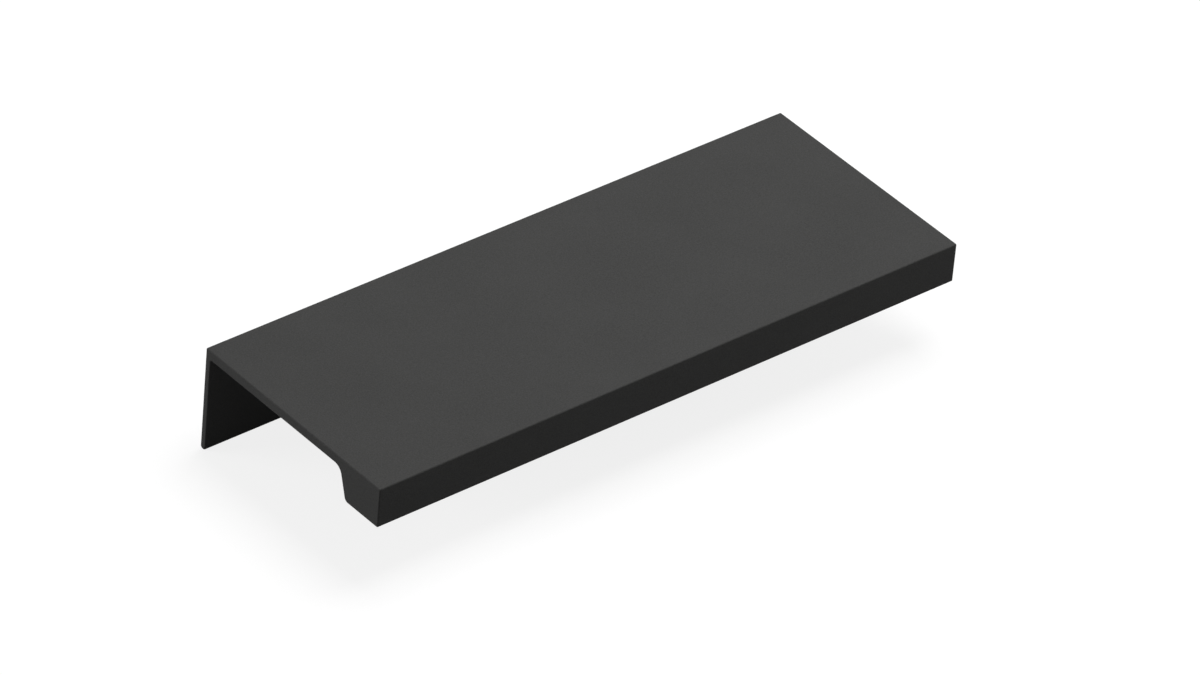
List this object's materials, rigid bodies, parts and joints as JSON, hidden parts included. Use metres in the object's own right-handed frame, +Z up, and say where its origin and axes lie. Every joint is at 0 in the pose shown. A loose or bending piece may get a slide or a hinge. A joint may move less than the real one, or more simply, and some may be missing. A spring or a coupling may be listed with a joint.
{
  "type": "tab pull",
  "caption": "Flat edge-mounted tab pull in matte black aluminium: a thin plate over the front's top edge, a screw leg behind it and a thick finger lip before it.",
  "frame": {"origin": "middle of the leg's seat, the inner face that bears on the back of the drawer front, midway between the screw holes", "axes": "+X along the pull, +Y into the cabinet, +Z up"},
  "size_m": [0.1016, 0.0381, 0.0169],
  "materials": {
    "black_finish": "matte"
  },
  "bodies": {
    "root": {"tab_pull": "black_finish"}
  },
  "joints": []
}
